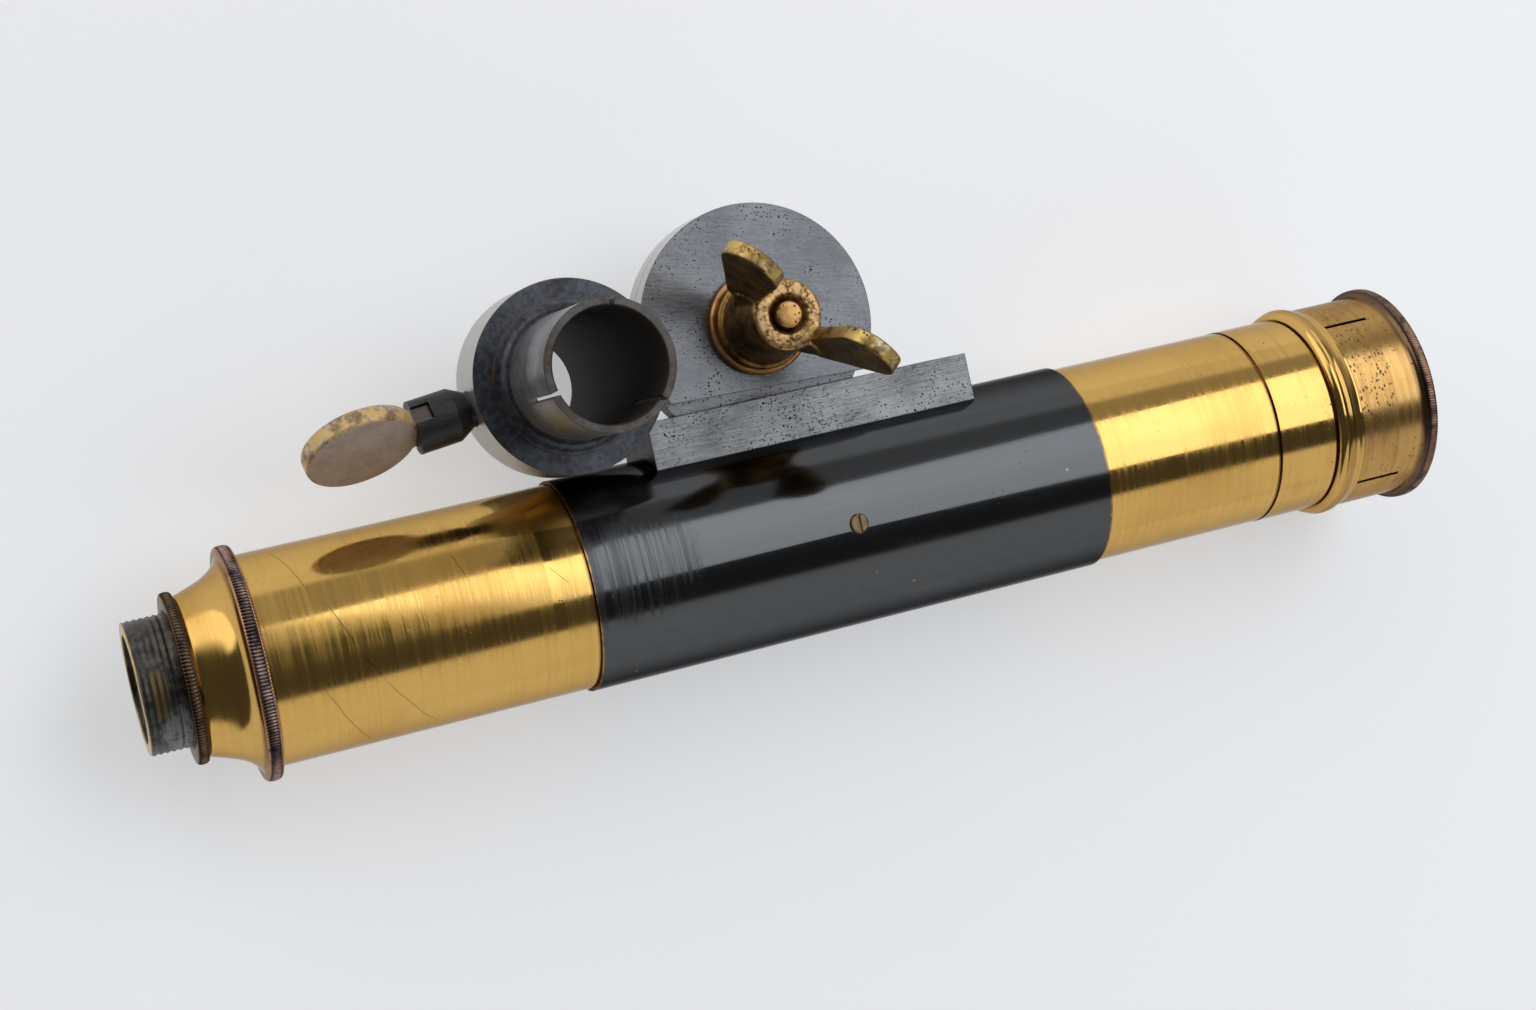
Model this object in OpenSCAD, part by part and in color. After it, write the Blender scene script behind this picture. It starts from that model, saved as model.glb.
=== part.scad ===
// Cathetometer telescope with its rod clamp.
// The origin is on the rod's axis, level with the telescope's axis.
// +X runs along the telescope to its objective end, +Z runs up the rod's axis
// and the swivel's axis, and +Y runs from the telescope to the clamp.

/* [Rod clamp] */
// Diameter of the rod that the clamp slides on
rod_d = 19; // [16:0.5:20]
// Clearance all round between the rod and the sleeve
rod_gap = 0.1; // [0.05:0.05:0.2]
// Wall of the split sleeve
sleeve_wall = 1.4; // [1:0.1:1.8]
// Height of the sleeve's mouth above the telescope's axis
mouth_z = 45.4; // [36:0.2:56]
// Number of saw cuts in the sleeve's mouth
slit_count = 3; // [2:1:6]
// Length of a saw cut in the sleeve's mouth
slit_len = 16; // [8:0.5:18]
// Width of every saw cut
slit_w = 0.8; // [0.5:0.1:1.2]
// Diameter of the clamp's round flange
collar_d = 33.6; // [30:0.2:36]
// Thickness of the clamp's round flange
collar_t = 14; // [12:0.5:16]
// Height of the fillet between the flange and the sleeve
collar_fillet = 2.4; // [1:0.2:3]

/* [Swivel] */
// Distance from the rod's axis to the swivel along the telescope
pivot_x = 37.8; // [37.6:0.1:40]
// Distance from the rod's axis to the swivel across the telescope
pivot_y = 2.4; // [0:0.2:4]
// Diameter of both swivel discs
disc_d = 43; // [36:0.5:43]
// Thickness of the front disc
disc_t = 4.5; // [3.5:0.1:5.5]
// Thickness of the back disc
lug_t = 4.3; // [3:0.1:5]
// Gap between the front disc's flat and the saddle bar
flat_gap = 1.7; // [1.5:0.05:3]
// Tilt of the front disc's flat against the telescope
flat_tilt = -1.9; // [-2:0.1:0]
// Diameter of the swivel's stud
stud_d = 4.8; // [4:0.1:5.4]
// Running clearance of a round fit, on the radius
run_gap = 0.05; // [0.02:0.01:0.08]

/* [Wing nut] */
// Diameter of the washer under the wing nut
washer_d = 18.4; // [16:0.2:20]
// Thickness of the washer
washer_t = 2; // [1.2:0.1:2.4]
// Diameter of the wing nut's top face
hub_d = 12.5; // [11:0.1:13.5]
// Height of the wing nut's hub
hub_h = 13.4; // [11:0.1:16]
// Thickness of an ear
ear_t = 3; // [2:0.1:4]
// Reach of an ear from the swivel's axis
ear_reach = 18.2; // [15:0.1:20]
// Height of an ear above the hub's top face
ear_rise = 22; // [14:0.5:24]
// Direction of the ears against the telescope
ear_turn = 133.5; // [90:0.5:180]

/* [Thumb screw] */
// Direction of the thumb screw round the rod's axis
thumb_turn = 186.2; // [180:0.2:196]
// Diameter of the thumb screw's shank
shank_d = 9.4; // [8:0.1:11]
// Length of the shank outside the flange
shank_len = 9.6; // [8:0.1:14]
// Diameter of the thumb screw's thread
thread_d = 6.3; // [5:0.1:7]
// Diameter of the thumb screw's flat head
head_d = 20; // [16:0.5:21]
// Thickness of the thumb screw's flat head
head_t = 3.2; // [2:0.1:4]
// Turn of the flat head about the screw's axis
head_turn = 28.5; // [0:0.5:90]

/* [Telescope] */
// Gap between the clamp's flange and the black jacket
flange_gap = 0.33; // [0.3:0.01:2]
// Length of the black jacket
jacket_len = 98; // [92:0.5:104]
// Wall of the black jacket
jacket_wall = 0.6; // [0.4:0.05:0.8]
// Distance from the jacket's left end to the rod's axis
jacket_left = 4.2; // [2:0.1:8]
// Outer diameter of the brass tubes
tube_d = 36.8; // [34:0.1:40]
// Wall of the brass tubes
tube_wall = 0.9; // [0.7:0.05:1.2]
// Visible length of the fixed brass tube
tube_len = 35.5; // [28:0.5:44]
// Width of the saddle bar
bar_w = 18.8; // [16:0.2:19]
// Length of the saddle bar
bar_len = 61.3; // [52:0.1:66]
// Gap between the clamp's flange and the saddle bar's left end
bar_gap = 0.8; // [0.6:0.05:3]
// Height of the saddle bar above the telescope's axis
bar_top = 25.05; // [23.5:0.05:26.5]
// How far the end flanges, on which the instrument lies, stand out from the tubes
flange_lip = 2.1; // [1.6:0.05:3]
// Length of the fixed brass tube behind its screw
screw_lap = 7; // [5:0.5:10]
// Room that the draw tube has between its inner end and the fixed tube
slide_room = 17; // [13:0.5:20]

/* [Objective end] */
// Length of the moulded ring
ring_len = 17.6; // [16:0.2:20]
// How far the ring's bead stays inside the end flanges
bead_drop = 0.4; // [0.2:0.05:0.8]
// Wall of the slotted sleeve
slot_wall = 0.9; // [0.7:0.05:1.1]
// Length of a slot in the slotted sleeve
slot_len = 9; // [6:0.5:12]
// Angle between the two saw cuts across the slotted sleeve
slot_spread = 102; // [60:1:120]
// Depth of the lens's lock ring behind the rim
rim_depth = 0.4; // [0.2:0.1:2]
// Wall of the seat that the objective lenses lie in
seat_wall = 0.85; // [0.6:0.05:1.5]

/* [Eyepiece end] */
// Visible length of the draw tube
draw_len = 56; // [48:0.5:64]
// Thickness of the draw tube's knurled flange
draw_flange_t = 3.8; // [3:0.1:5]
// Length of the hollow curve between the two knurled rings
cove_len = 6.8; // [5:0.1:9]
// Diameter at the small end of the hollow curve
cove_d = 27.6; // [27:0.1:29]
// Diameter of the eyepiece's knurled ring
grip_d = 29.8; // [27:0.1:31]
// Thickness of the eyepiece's knurled ring
grip_t = 2; // [1.5:0.1:3]
// Diameter of the eyepiece's threaded end
eye_thread_d = 23.2; // [22:0.1:23.8]
// Length of the eyepiece's threaded end
eye_thread_len = 7; // [5:0.1:9]
// Outer diameter of the eyepiece's barrel
barrel_d = 24; // [23:0.1:25]
// Length of the eyepiece's barrel inside its holder
barrel_len = 20; // [17:0.5:22]
// Wall of the eyepiece's barrel
barrel_wall = 1.6; // [1.2:0.1:2]

/* [Hidden] */
$fn = 96;
eps = 0.01;

// Rod clamp, from the rod outwards
lug_z = 3.9;
bore_r = rod_d / 2 + rod_gap;
sleeve_r = bore_r + sleeve_wall;
collar_r = collar_d / 2;
tube_r = tube_d / 2;
jacket_r = tube_r + jacket_wall;
flange_r = tube_r + flange_lip;
floor_z = -flange_r;
face_gap = 0.1;
collar_z = lug_z + face_gap;
collar_top = collar_z + collar_t;
boss_r = sleeve_r + collar_fillet;
boss_rim_h = 0.5;
slit_turn = 196;

// Distance between the rod's axis and the telescope's axis
drop = collar_r + flange_gap + sqrt(jacket_r * jacket_r - collar_z * collar_z);
bar_y = bar_top - drop;
bar_left = sqrt(collar_r * collar_r - bar_y * bar_y) + bar_gap;

// Swivel, from the back disc upwards
disc_r = disc_d / 2;
disc_top = collar_z + disc_t;
stud_r = stud_d / 2;
stud_hole_r = stud_r + run_gap;
stud_head_r = 5;
stud_head_t = 3.2;
stud_point_h = 0.5;
stud_point_w = 0.6;
waist_half = 8;
waist_low = 7;
flat_dist = pivot_y - bar_y - flat_gap;
flat_len = disc_d;

// Wing nut
stack_gap = 0.05;
washer_z = disc_top + stack_gap;
nut_z = washer_z + washer_t + stack_gap;
hub_top = nut_z + hub_h;
hub_r = hub_d / 2;
nut_flange_r = washer_d / 2 - 0.9;
nut_flange_t = 1.6;
nut_neck_r = hub_r + 1.1;
ear_root = [hub_r - 0.35, hub_top - 0.4];
ear_root_r = 2.4;
ear_tip_r = 5.6;
ear_tip = [ear_reach - ear_tip_r, hub_top + ear_rise - ear_tip_r];

// Thumb screw, measured outwards from the rod's axis
thumb_z = collar_z + collar_t / 2;
pad_r = thread_d / 2 - 0.25;
pad_start = bore_r + 0.1;
pad_end = sleeve_r + 0.1;
stem_start = pad_end + stack_gap;
thread_r = thread_d / 2;
shank_r = shank_d / 2;
shank_start = collar_r + 0.6;
shank_end = shank_start + shank_len;
shank_bevel = 2.4;
head_r = head_d / 2;
tang_w = shank_d - 1.6;
tang_in = 3.2;
head_x = shank_end + head_r - 0.4;

// Telescope, from left to right along its axis
tube_in_r = tube_r - tube_wall;
tube_end = jacket_len + tube_len;
screw_x = jacket_len / 2;
fixed_start = screw_x - screw_lap;
draw_in = fixed_start - slide_room;
screw_hole_r = 1;
screw_slot_w = 0.5;
screw_slot_t = 0.35;
screw_head_r = 1.8;
screw_head_t = 0.5;
baffle_lap = 8;
baffle_x = jacket_len - baffle_lap;
baffle_t = 1.5;
baffle_hole_r = 14;

// Objective end
light_r = tube_in_r - 0.9;
ring_end = tube_end + ring_len;
ring_in = 6;
moulding_len = 5.6;
groove_x = ring_end - moulding_len;
groove_w = 0.45;
groove_depth = 0.4;
bead_r = flange_r - bead_drop;
spigot_r = tube_r - run_gap;
slot_tube_in_r = spigot_r + run_gap;
slot_tube_r = slot_tube_in_r + slot_wall;
sleeve_start = ring_end + stack_gap;
slot_end = sleeve_start + slot_len;
spigot_end = slot_end;
seat_start = slot_end + 0.4;
seat_t = 0.8;
seat_r = slot_tube_in_r - seat_wall;
objective_r = seat_r - run_gap;
glass_start = seat_start + seat_t;
flint_edge = 2.8;
flint_radius = 90;
crown_edge = 0.6;
crown_radius = 110;
glass_gap = 0.04;
crown_start = glass_start + flint_edge + glass_gap;
lock_w = 1.4;
lock_start = crown_start + crown_edge + glass_gap
    + sag(crown_radius, objective_r) - sag(crown_radius, objective_r - lock_w);
lock_t = 1.1;
cell_end = lock_start + lock_t + rim_depth;
rim_t = 1.7;
flare_len = 1.4;

// Eyepiece end, from the jacket's left end leftwards
draw_flange_x = -draw_len - draw_flange_t;
cove_x = draw_flange_x - 0.5;
cove_end = cove_x - cove_len;
cove_top_r = tube_r - 0.3;
holder_in = 6;
grip_x = cove_end - face_gap;
eye_end = grip_x - grip_t - eye_thread_len;
grip_r = grip_d / 2;
eye_thread_r = eye_thread_d / 2;
barrel_r = barrel_d / 2;
barrel_in_r = barrel_r - barrel_wall;
barrel_end = grip_x + barrel_len;
lens_gap = 0.05;
lip_t = 0.6;
lip_w = 1;
eye_lens_x = eye_end + lip_t;
eye_lens_edge = 2.3;
field_lock_t = 1.4;
field_lens_edge = 2.3;
field_lens_end = barrel_end - field_lock_t;
lens_bulge_radius = 26;
eye_glass_r = barrel_in_r - lens_gap;
spacer_in_r = barrel_in_r - 0.8;
spacer_lift = sag(lens_bulge_radius, eye_glass_r) - sag(lens_bulge_radius, spacer_in_r)
    + lens_gap;
wire_ring_gap = 5;
wire_ring_x = barrel_end + wire_ring_gap;
wire_ring_t = 3;
wire_hole_r = 8;
wire_r = 0.06;

// Puts a shape drawn along Z onto the telescope's axis, from x along the tube
module on_tube(x = 0) {
    translate([x - jacket_left, -drop, 0]) rotate([0, 90, 0]) children();
}

// Puts a shape drawn along Z onto the thumb screw's axis
module on_thumb(r = 0) {
    translate([0, 0, thumb_z]) rotate([0, 90, thumb_turn]) translate([0, 0, r]) children();
}

// Puts a shape onto the swivel's axis
module on_pivot(z = 0) {
    translate([pivot_x, pivot_y, z]) children();
}

// A plain ring between two stations along Z
module ring(r_out, r_in, z0, z1) {
    translate([0, 0, z0]) difference() {
        cylinder(r = r_out, h = z1 - z0);
        translate([0, 0, -1]) cylinder(r = r_in, h = z1 - z0 + 2);
    }
}

// Points of a hollow quarter curve from one corner to the other
function cove(from, to, steps = 14) = [for (i = [0 : steps])
    let (a = 90 * i / steps)
    [to[0] + (from[0] - to[0]) * (1 - sin(a)), from[1] + (to[1] - from[1]) * (1 - cos(a))]];

// Points of a round bead between two stations
function bead(z0, z1, r0, r1, steps = 14) = [for (i = [0 : steps])
    let (a = 180 * i / steps)
    [r0 + (r1 - r0) * sin(a), z0 + (z1 - z0) * (1 - cos(a)) / 2]];

// Sag of a sphere's surface at a radius from its axis
function sag(radius, r) = radius - sqrt(radius * radius - r * r);

// Outline of a lens: radius r, faces at z0 and z1 at the rim, bulges b0 and b1 outwards
function lens_points(r, z0, z1, b0, b1, steps = 16) = concat(
    [for (i = [0 : steps]) let (q = r * i / steps)
        [q, z0 - (b0 == 0 ? 0 : sign(b0) * (sag(abs(b0), r) - sag(abs(b0), q)))]],
    [for (i = [0 : steps]) let (q = r * (1 - i / steps))
        [q, z1 + (b1 == 0 ? 0 : sign(b1) * (sag(abs(b1), r) - sag(abs(b1), q)))]]);

// Two circles and the straight sides that touch them both
module lobe(c1, r1, c2, r2) {
    dx = c2[0] - c1[0];
    dy = c2[1] - c1[1];
    dist = sqrt(dx * dx + dy * dy);
    base = atan2(dy, dx);
    side = acos((r1 - r2) / dist);
    translate(c1) circle(r = r1);
    translate(c2) circle(r = r2);
    polygon([
        c1 + r1 * [cos(base + side), sin(base + side)],
        c2 + r2 * [cos(base + side), sin(base + side)],
        c2 + r2 * [cos(base - side), sin(base - side)],
        c1 + r1 * [cos(base - side), sin(base - side)]]);
}

// Round flange with a boss, bored for the split sleeve and tapped for the thumb screw
module rod_collar() {
    color("#2f3136") difference() {
        union() {
            translate([0, 0, collar_z]) cylinder(r = collar_r, h = collar_t);
            translate([0, 0, collar_top]) rotate_extrude() polygon(concat(
                [[bore_r, -1], [boss_r, -1], [boss_r, boss_rim_h]],
                cove([boss_r - 0.3, boss_rim_h], [sleeve_r + 0.2, collar_fillet]),
                [[bore_r, collar_fillet]]));
        }
        translate([0, 0, floor_z]) cylinder(r = sleeve_r, h = mouth_z - floor_z);
        on_thumb(sleeve_r - 1) cylinder(r = thread_r + run_gap, h = collar_r);
    }
}

// Front swivel disc with its flat and the waist that joins it to the flange
module clamp_disc() {
    color("#43474e") difference() {
        union() {
            on_pivot(collar_z) cylinder(r = disc_r, h = disc_t);
            translate([0, -waist_low, collar_z])
                cube([pivot_x, waist_low + waist_half, disc_t]);
        }
        translate([0, 0, collar_z - 1]) cylinder(r = collar_r, h = disc_t + 2);
        on_pivot(collar_z - 1) cylinder(r = stud_hole_r, h = disc_t + 2);
        on_pivot(collar_z - 1) rotate([0, 0, flat_tilt])
            translate([-flat_len / 2, -flat_dist - flat_len, 0])
            cube([flat_len, flat_len, disc_t + 2]);
    }
}

// Tube that the rod slides in, sawn at its mouth so that it springs
module split_sleeve() {
    color("#4a4640") difference() {
        ring(sleeve_r, bore_r, floor_z, mouth_z);
        for (i = [0 : slit_count - 1]) rotate([0, 0, slit_turn + i * 360 / slit_count])
            translate([bore_r / 2, -slit_w / 2, mouth_z - slit_len])
            cube([sleeve_r, slit_w, slit_len + 1]);
        on_thumb(bore_r / 2) cylinder(r = pad_r + run_gap, h = sleeve_r);
    }
}

// Brass plug between the thumb screw and the rod
module clamp_pad() {
    color("#b08d4a") on_thumb(pad_start) cylinder(r = pad_r, h = pad_end - pad_start);
}

// Steel screw with a bevelled shoulder and a slotted outer end
module thumb_shank() {
    color("#3c3b3a") on_thumb() difference() {
        union() {
            translate([0, 0, stem_start]) cylinder(r = thread_r, h = shank_start - stem_start + 1);
            translate([0, 0, shank_start])
                cylinder(r1 = thread_r + 0.2, r2 = shank_r, h = shank_bevel);
            translate([0, 0, shank_start + shank_bevel])
                cylinder(r = shank_r, h = shank_len - shank_bevel);
        }
        rotate([0, 0, head_turn]) translate([-shank_d, -head_t / 2, shank_end - tang_in])
            cube([2 * shank_d, head_t, tang_in + 1]);
    }
}

// Flat round head let into the shank's slot
module thumb_head() {
    color("#8a6a3c") on_thumb() rotate([0, 0, head_turn])
        rotate([90, 0, 0]) linear_extrude(height = head_t, center = true) union() {
            translate([0, head_x]) circle(r = head_r);
            translate([-tang_w / 2, shank_end - tang_in]) square([tang_w, tang_in + head_r]);
        }
}

// Thin black tube round the telescope, bored to let the draw tube slide
module jacket() {
    color("#17181a") on_tube() difference() {
        cylinder(r = jacket_r, h = jacket_len);
        translate([0, 0, -1]) cylinder(r = tube_r, h = jacket_len + 2);
        translate([0, 0, -1]) cylinder(r = tube_r + run_gap, h = fixed_start + 1);
        translate([0, 0, screw_x]) rotate([0, -90, 0])
            cylinder(r = screw_hole_r, h = 2 * jacket_r);
    }
}

// Bar that is soldered along the jacket and carries the back disc
module saddle_bar() {
    color("#6d7072") difference() {
        translate([bar_left, -drop, -bar_w / 2]) cube([bar_len, bar_top, bar_w]);
        on_tube(-1) cylinder(r = jacket_r, h = jacket_len + 2);
    }
}

// Back swivel disc, standing on the saddle bar
module lug_disc() {
    color("#3a3d42") difference() {
        on_pivot(lug_z - lug_t) cylinder(r = disc_r, h = lug_t);
        translate([pivot_x - disc_d, -drop, lug_z - lug_t - 1])
            cube([2 * disc_d, bar_top, lug_t + 2]);
        on_pivot(lug_z - lug_t - 1) cylinder(r = stud_r, h = lug_t + 2);
    }
}

// Stud that is fixed in the back disc and carries the wing nut
module pivot_stud() {
    stud_bottom = lug_z - lug_t;
    color("#c9a24a") on_pivot() {
        translate([0, 0, stud_bottom - stud_head_t]) cylinder(r = stud_head_r, h = stud_head_t);
        translate([0, 0, stud_bottom]) cylinder(r = stud_r, h = hub_top - stud_bottom);
        translate([0, 0, hub_top])
            cylinder(r1 = stud_r, r2 = stud_r - stud_point_w, h = stud_point_h);
    }
}

// Slotted screw that holds the fixed tube in the jacket
module jacket_screw() {
    color("#8f8a80") on_tube(screw_x) rotate([0, -90, 0]) difference() {
        union() {
            translate([0, 0, tube_in_r])
                cylinder(r = screw_hole_r, h = jacket_r - tube_in_r);
            translate([0, 0, jacket_r])
                cylinder(r1 = screw_head_r, r2 = screw_head_r - 0.3, h = screw_head_t);
        }
        translate([-screw_slot_w / 2, -screw_head_r, jacket_r + screw_head_t - screw_slot_t])
            cube([screw_slot_w, 2 * screw_head_r, 1]);
    }
}

// Brass tube between the jacket and the moulded ring
module fixed_tube() {
    color("#c8a045") on_tube() difference() {
        ring(tube_r, tube_in_r, fixed_start, tube_end);
        translate([0, 0, screw_x]) rotate([0, -90, 0])
            cylinder(r = screw_hole_r, h = 2 * jacket_r);
    }
}

// Ring with a groove and a bead, and a spigot that the slotted sleeve slips over
module moulded_ring() {
    color("#c8a045") on_tube() rotate_extrude() polygon(concat(
        [[light_r, tube_end - ring_in], [tube_in_r, tube_end - ring_in]],
        [[tube_in_r, tube_end]],
        [[tube_r - groove_depth, tube_end], [tube_r - groove_depth, tube_end + groove_w]],
        [[tube_r + 0.1, tube_end + groove_w], [tube_r + 0.1, groove_x]],
        [[tube_r - groove_depth, groove_x], [tube_r - groove_depth, groove_x + groove_w]],
        cove([tube_r + 0.1, groove_x + groove_w], [bead_r - 0.3, groove_x + 1.9]),
        bead(groove_x + 1.9, groove_x + 3.5, bead_r - 0.3, bead_r),
        [[slot_tube_r + 0.3, ring_end - 1.2], [slot_tube_r, ring_end - 0.4]],
        [[slot_tube_r, ring_end], [spigot_r, ring_end], [spigot_r, spigot_end]],
        [[light_r, spigot_end]]));
}

// Blackened ring inside the fixed tube that stops stray light
module baffle_ring() {
    color("#1c1c1c") on_tube(baffle_x) ring(tube_in_r, baffle_hole_r, 0, baffle_t);
}

// Loose washer under the wing nut
module clamp_washer() {
    color("#9c7a3a") on_pivot(washer_z) difference() {
        union() {
            cylinder(r = washer_d / 2, h = washer_t - 0.4);
            translate([0, 0, washer_t - 0.4])
                cylinder(r1 = washer_d / 2, r2 = washer_d / 2 - 0.4, h = 0.4);
        }
        translate([0, 0, -1]) cylinder(r = stud_hole_r, h = washer_t + 2);
    }
}

// Nut with a flanged, tapered hub and two upright ears
module wing_nut() {
    color("#a8843c") on_pivot() difference() {
        union() {
            translate([0, 0, nut_z]) cylinder(r = nut_flange_r, h = nut_flange_t);
            translate([0, 0, nut_z + nut_flange_t - eps])
                cylinder(r1 = nut_neck_r, r2 = hub_r, h = hub_h - nut_flange_t + eps);
            for (side = [0, 180]) rotate([90, 0, ear_turn + side])
                linear_extrude(height = ear_t, center = true)
                lobe(ear_root, ear_root_r, ear_tip, ear_tip_r);
        }
        translate([0, 0, nut_z - 1]) cylinder(r = stud_hole_r, h = hub_h + 2);
        translate([0, 0, hub_top - 1.2])
            cylinder(r1 = stud_hole_r, r2 = stud_hole_r + 1, h = 1.2 + eps);
    }
}

// Slotted sleeve that slips over the spigot and holds the objective
module objective_sleeve() {
    color("#b8923f") on_tube() difference() {
        rotate_extrude() polygon(concat(
            [[slot_tube_in_r, sleeve_start], [slot_tube_r, sleeve_start]],
            [[slot_tube_r, cell_end - rim_t - flare_len]],
            [for (i = [1 : 10]) let (a = 9 * i)
                [slot_tube_r + (flange_r - 0.4 - slot_tube_r) * (1 - cos(a)),
                cell_end - rim_t - flare_len * (1 - sin(a))]],
            [[flange_r - 0.2, cell_end - rim_t], [flange_r, cell_end - rim_t + 0.2]],
            [[flange_r, cell_end - 0.2], [flange_r - 0.2, cell_end], [seat_r, cell_end]],
            [[seat_r, glass_start], [light_r, glass_start], [light_r, seat_start]],
            [[slot_tube_in_r, seat_start]]));
        for (side = [-0.5, 0.5]) rotate([0, 0, side * slot_spread])
            translate([-2 * flange_r, -slit_w / 2, sleeve_start - 1])
            cube([4 * flange_r, slit_w, slot_len + 1]);
    }
}

// Inner, hollowed lens of the objective
module flint_lens() {
    color("#cfe0e6", 0.5) on_tube() rotate_extrude() polygon(
        lens_points(objective_r, glass_start, glass_start + flint_edge, 0, -flint_radius));
}

// Outer, bulging lens of the objective
module crown_lens() {
    color("#dcebf0", 0.5) on_tube() rotate_extrude() polygon(lens_points(
        objective_r, crown_start, crown_start + crown_edge, flint_radius, crown_radius));
}

// Thin ring that holds the objective in its seat
module objective_lock_ring() {
    color("#2b2a28") on_tube()
        ring(seat_r, objective_r - lock_w, lock_start, lock_start + lock_t);
}

// Brass tube that slides in the jacket to focus
module draw_tube() {
    color("#c8a045") on_tube() ring(tube_r, tube_in_r, -draw_len, draw_in);
}

// Holder with a knurled flange and a hollow curve, fixed in the draw tube
module eyepiece_holder() {
    color("#bd9440") on_tube() rotate_extrude() polygon(concat(
        [[barrel_r + run_gap, holder_in - draw_len], [tube_in_r, holder_in - draw_len]],
        [[tube_in_r, -draw_len]],
        bead(-draw_len, draw_flange_x, flange_r - 0.6, flange_r),
        [[cove_top_r, draw_flange_x]],
        cove([cove_top_r, cove_x], [cove_d / 2, cove_end]),
        [[barrel_r + run_gap, cove_end]]));
}

// Ring that carries the cross wires
module wire_ring() {
    color("#3a3632") on_tube()
        ring(tube_in_r, wire_hole_r, wire_ring_x, wire_ring_x + wire_ring_t);
}

// Two fine wires crossed on the telescope's axis
module cross_wires() {
    color("#222222") on_tube(wire_ring_x - wire_r) for (turn = [0, 90])
        rotate([0, 0, turn]) rotate([90, 0, 0])
        cylinder(r = wire_r, h = 2 * wire_hole_r + 2, center = true, $fn = 24);
}

// Barrel with a knurled ring and a threaded end
module eyepiece_barrel() {
    color("#57504a") on_tube() rotate_extrude() polygon(concat(
        [[barrel_in_r - lip_w, eye_end], [eye_thread_r, eye_end]],
        [[eye_thread_r, grip_x - grip_t]],
        bead(grip_x - grip_t, grip_x, grip_r - 0.4, grip_r),
        [[barrel_r, grip_x], [barrel_r, barrel_end], [barrel_in_r, barrel_end]],
        [[barrel_in_r, eye_lens_x], [barrel_in_r - lip_w, eye_lens_x]]));
}

// Lens next to the eye, flat side out
module eye_lens() {
    color("#dcebf0", 0.5) on_tube() rotate_extrude() polygon(lens_points(
        eye_glass_r, eye_lens_x, eye_lens_x + eye_lens_edge, 0, lens_bulge_radius));
}

// Tube that keeps the two eyepiece lenses apart
module lens_spacer() {
    color("#2b2a28") on_tube() ring(barrel_in_r, spacer_in_r,
        eye_lens_x + eye_lens_edge + spacer_lift,
        field_lens_end - field_lens_edge - spacer_lift);
}

// Lens next to the cross wires, flat side towards them
module field_lens() {
    color("#dcebf0", 0.5) on_tube() rotate_extrude() polygon(lens_points(
        eye_glass_r, field_lens_end - field_lens_edge, field_lens_end, lens_bulge_radius, 0));
}

// Ring that holds the eyepiece's lenses in
module field_lock_ring() {
    color("#2b2a28") on_tube()
        ring(barrel_in_r, barrel_in_r - 1, field_lens_end + lens_gap, barrel_end);
}

rod_collar();
clamp_disc();
split_sleeve();
clamp_pad();
thumb_shank();
thumb_head();
jacket();
saddle_bar();
lug_disc();
pivot_stud();
jacket_screw();
fixed_tube();
moulded_ring();
baffle_ring();
clamp_washer();
wing_nut();
objective_sleeve();
flint_lens();
crown_lens();
objective_lock_ring();
draw_tube();
eyepiece_holder();
wire_ring();
cross_wires();
eyepiece_barrel();
eye_lens();
lens_spacer();
field_lens();
field_lock_ring();
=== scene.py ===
# %% [markdown]
# # A cathetometer telescope in Blender
# This lesson dresses the solids of a small reading telescope and its rod clamp. The solids
# come from CAD, so they are true in size but have no finish. Each cell adds one thing: the
# camera, the light, a finish, or a piece that is finer than its solid. A finish goes straight
# on a solid. A knurl, a thread or a soft cast edge needs a shape, so it becomes a piece.

# %% The tools and the CAD model
import math

import bmesh
import bpy
from mathutils import Matrix, Vector


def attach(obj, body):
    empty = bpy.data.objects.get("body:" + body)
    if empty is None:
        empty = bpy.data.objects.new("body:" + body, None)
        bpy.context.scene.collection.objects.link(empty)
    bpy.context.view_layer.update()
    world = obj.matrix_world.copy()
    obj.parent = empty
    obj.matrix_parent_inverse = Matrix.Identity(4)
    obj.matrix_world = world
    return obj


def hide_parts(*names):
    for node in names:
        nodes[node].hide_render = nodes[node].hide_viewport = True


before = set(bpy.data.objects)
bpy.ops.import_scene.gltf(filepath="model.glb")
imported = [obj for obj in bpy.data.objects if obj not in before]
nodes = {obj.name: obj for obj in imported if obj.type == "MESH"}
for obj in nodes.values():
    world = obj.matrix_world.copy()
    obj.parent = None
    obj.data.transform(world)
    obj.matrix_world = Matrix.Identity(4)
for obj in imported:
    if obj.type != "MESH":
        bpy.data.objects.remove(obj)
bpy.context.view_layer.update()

# %% [markdown]
# The telescope lies on its end flanges, along X. The clamp's rod would stand along Z, through
# the origin. A few lengths are needed again and again, so they get names here. They are in
# metres, written as millimetres times MM. The outlines of turned and flat pieces further down
# stay in millimetres, as on a drawing, and so does each name that ends in _MM.

# %% Lengths that the pieces share
MM = 0.001
TUBE_Y = -35.704 * MM
TUBE_START = -4.2 * MM
JACKET_END = 93.8 * MM
TUBE_R_MM = 18.4
FLOOR_Z = -20.5 * MM
COLLAR_R = 16.6 * MM
PIVOT = Vector((37.8 * MM, 2.4 * MM, 0))
EAR_TURN = math.radians(133.5)
print("the tube's axis is", round(-TUBE_Y / MM, 1), "mm in front of the rod's axis")

# %% [markdown]
# The thumb screw has an axis of its own, square to the rod. Its head is a coin in a slot, and
# the coin is twisted about the screw. A matrix for each turn, multiplied in order, is easier
# to check than three angles of one object. The coin's finish reads the same place from it.

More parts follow.
